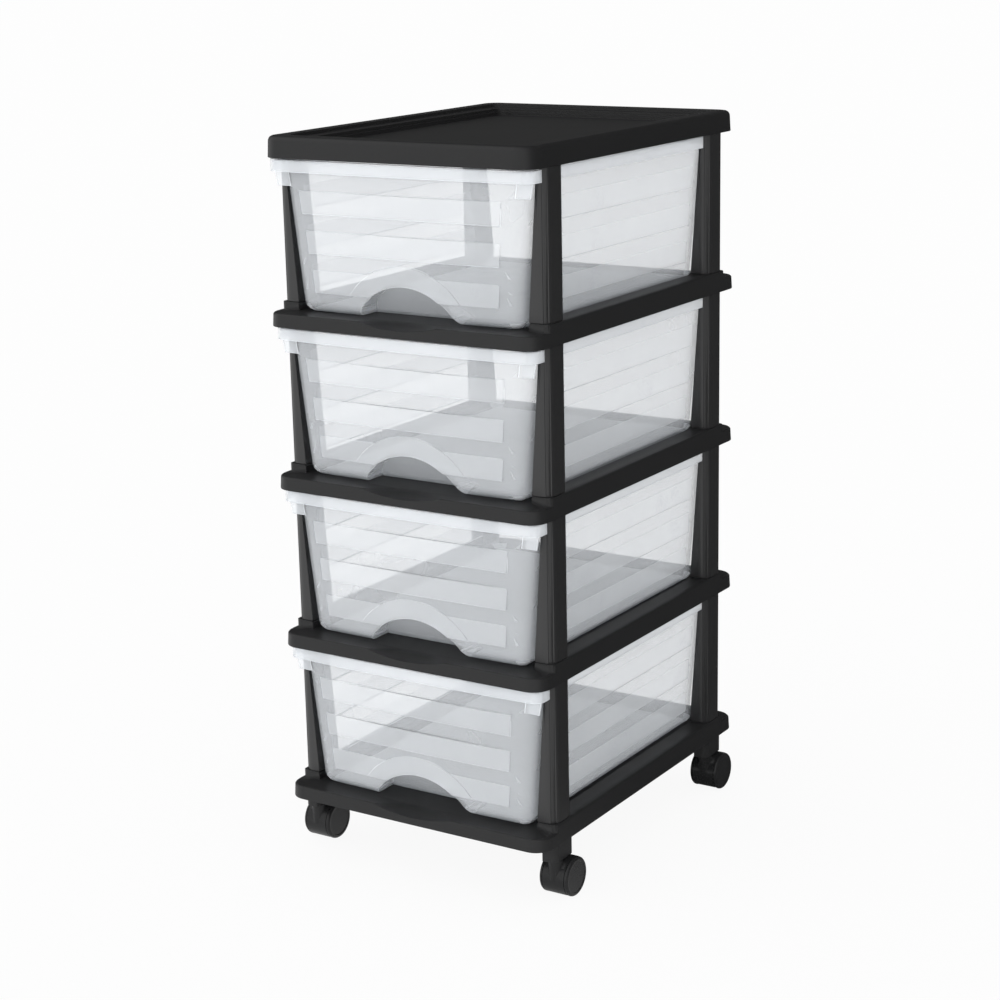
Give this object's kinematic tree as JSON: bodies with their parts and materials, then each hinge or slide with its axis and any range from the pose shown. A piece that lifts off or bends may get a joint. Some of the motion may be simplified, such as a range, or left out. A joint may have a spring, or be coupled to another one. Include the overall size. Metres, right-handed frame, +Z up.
{
  "type": "drawer tower",
  "caption": "Narrow drawer tower on twin-wheel casters: translucent tub drawers with arched finger openings slide on black shelves joined by corner posts under a tray lid.",
  "frame": {"origin": "on the floor, under the middle of the tower", "axes": "drawers open toward -Y, +Z is up, +X is to the right of someone facing the drawers"},
  "size_m": [0.301, 0.386, 0.6911],
  "materials": {
    "frame": "fine satin black moulding",
    "post": "satin black moulding",
    "drawer": "frosted translucent clear moulding",
    "housing": "glossy black moulding",
    "wheel": "hard black wheel",
    "steel": "plain bright steel"
  },
  "bodies": {
    "frame": {"lid": "frame", "shelf_1": "frame", "shelf_2": "frame", "shelf_3": "frame", "shelf_4": "frame", "post_1_front_left": "post", "post_1_front_right": "post", "post_1_rear_left": "post", "post_1_rear_right": "post", "post_2_front_left": "post", "post_2_front_right": "post", "post_2_rear_left": "post", "post_2_rear_right": "post", "post_3_front_left": "post", "post_3_front_right": "post", "post_3_rear_left": "post", "post_3_rear_right": "post", "post_4_front_left": "post", "post_4_front_right": "post", "post_4_rear_left": "post", "post_4_rear_right": "post", "caster_front_left_block": "post", "caster_front_left_stem": "steel", "caster_front_right_block": "post", "caster_front_right_stem": "steel", "caster_rear_left_block": "post", "caster_rear_left_stem": "steel", "caster_rear_right_block": "post", "caster_rear_right_stem": "steel"},
    "drawer_1": {"drawer_1": "drawer"},
    "drawer_2": {"drawer_2": "drawer"},
    "drawer_3": {"drawer_3": "drawer"},
    "drawer_4": {"drawer_4": "drawer"},
    "caster_front_left_swivel": {"caster_front_left_housing": "housing", "caster_front_left_axle": "steel"},
    "caster_front_left_wheel_outer": {"caster_front_left_wheel_outer": "wheel"},
    "caster_front_left_wheel_inner": {"caster_front_left_wheel_inner": "wheel"},
    "caster_front_right_swivel": {"caster_front_right_housing": "housing", "caster_front_right_axle": "steel"},
    "caster_front_right_wheel_outer": {"caster_front_right_wheel_outer": "wheel"},
    "caster_front_right_wheel_inner": {"caster_front_right_wheel_inner": "wheel"},
    "caster_rear_left_swivel": {"caster_rear_left_housing": "housing", "caster_rear_left_axle": "steel"},
    "caster_rear_left_wheel_outer": {"caster_rear_left_wheel_outer": "wheel"},
    "caster_rear_left_wheel_inner": {"caster_rear_left_wheel_inner": "wheel"},
    "caster_rear_right_swivel": {"caster_rear_right_housing": "housing", "caster_rear_right_axle": "steel"},
    "caster_rear_right_wheel_outer": {"caster_rear_right_wheel_outer": "wheel"},
    "caster_rear_right_wheel_inner": {"caster_rear_right_wheel_inner": "wheel"}
  },
  "joints": [
    {"name": "drawer_1_slide", "type": "slide", "parent": "frame", "child": "drawer_1", "axis": [0, -1, 0], "range_m": [0, 0.28]},
    {"name": "drawer_2_slide", "type": "slide", "parent": "frame", "child": "drawer_2", "axis": [0, -1, 0], "range_m": [0, 0.28]},
    {"name": "drawer_3_slide", "type": "slide", "parent": "frame", "child": "drawer_3", "axis": [0, -1, 0], "range_m": [0, 0.28]},
    {"name": "drawer_4_slide", "type": "slide", "parent": "frame", "child": "drawer_4", "axis": [0, -1, 0], "range_m": [0, 0.28]},
    {"name": "caster_front_left_swivel", "type": "hinge", "parent": "frame", "child": "caster_front_left_swivel", "pos_m": [-0.1355, -0.156, 0.0392], "axis": [0, 0, 1], "continuous": true},
    {"name": "caster_front_left_wheel_outer_roll", "type": "hinge", "parent": "caster_front_left_swivel", "child": "caster_front_left_wheel_outer", "pos_m": [-0.1455, -0.1435, 0.01875], "axis": [1, 0, 0], "continuous": true},
    {"name": "caster_front_left_wheel_inner_roll", "type": "hinge", "parent": "caster_front_left_swivel", "child": "caster_front_left_wheel_inner", "pos_m": [-0.1255, -0.1435, 0.01875], "axis": [1, 0, 0], "continuous": true},
    {"name": "caster_front_right_swivel", "type": "hinge", "parent": "frame", "child": "caster_front_right_swivel", "pos_m": [0.1355, -0.156, 0.0392], "axis": [0, 0, 1], "continuous": true},
    {"name": "caster_front_right_wheel_outer_roll", "type": "hinge", "parent": "caster_front_right_swivel", "child": "caster_front_right_wheel_outer", "pos_m": [0.1455, -0.1435, 0.01875], "axis": [1, 0, 0], "continuous": true},
    {"name": "caster_front_right_wheel_inner_roll", "type": "hinge", "parent": "caster_front_right_swivel", "child": "caster_front_right_wheel_inner", "pos_m": [0.1255, -0.1435, 0.01875], "axis": [1, 0, 0], "continuous": true},
    {"name": "caster_rear_left_swivel", "type": "hinge", "parent": "frame", "child": "caster_rear_left_swivel", "pos_m": [-0.1355, 0.144, 0.0392], "axis": [0, 0, 1], "continuous": true},
    {"name": "caster_rear_left_wheel_outer_roll", "type": "hinge", "parent": "caster_rear_left_swivel", "child": "caster_rear_left_wheel_outer", "pos_m": [-0.1455, 0.1565, 0.01875], "axis": [1, 0, 0], "continuous": true},
    {"name": "caster_rear_left_wheel_inner_roll", "type": "hinge", "parent": "caster_rear_left_swivel", "child": "caster_rear_left_wheel_inner", "pos_m": [-0.1255, 0.1565, 0.01875], "axis": [1, 0, 0], "continuous": true},
    {"name": "caster_rear_right_swivel", "type": "hinge", "parent": "frame", "child": "caster_rear_right_swivel", "pos_m": [0.1355, 0.144, 0.0392], "axis": [0, 0, 1], "continuous": true},
    {"name": "caster_rear_right_wheel_outer_roll", "type": "hinge", "parent": "caster_rear_right_swivel", "child": "caster_rear_right_wheel_outer", "pos_m": [0.1455, 0.1565, 0.01875], "axis": [1, 0, 0], "continuous": true},
    {"name": "caster_rear_right_wheel_inner_roll", "type": "hinge", "parent": "caster_rear_right_swivel", "child": "caster_rear_right_wheel_inner", "pos_m": [0.1255, 0.1565, 0.01875], "axis": [1, 0, 0], "continuous": true}
  ]
}
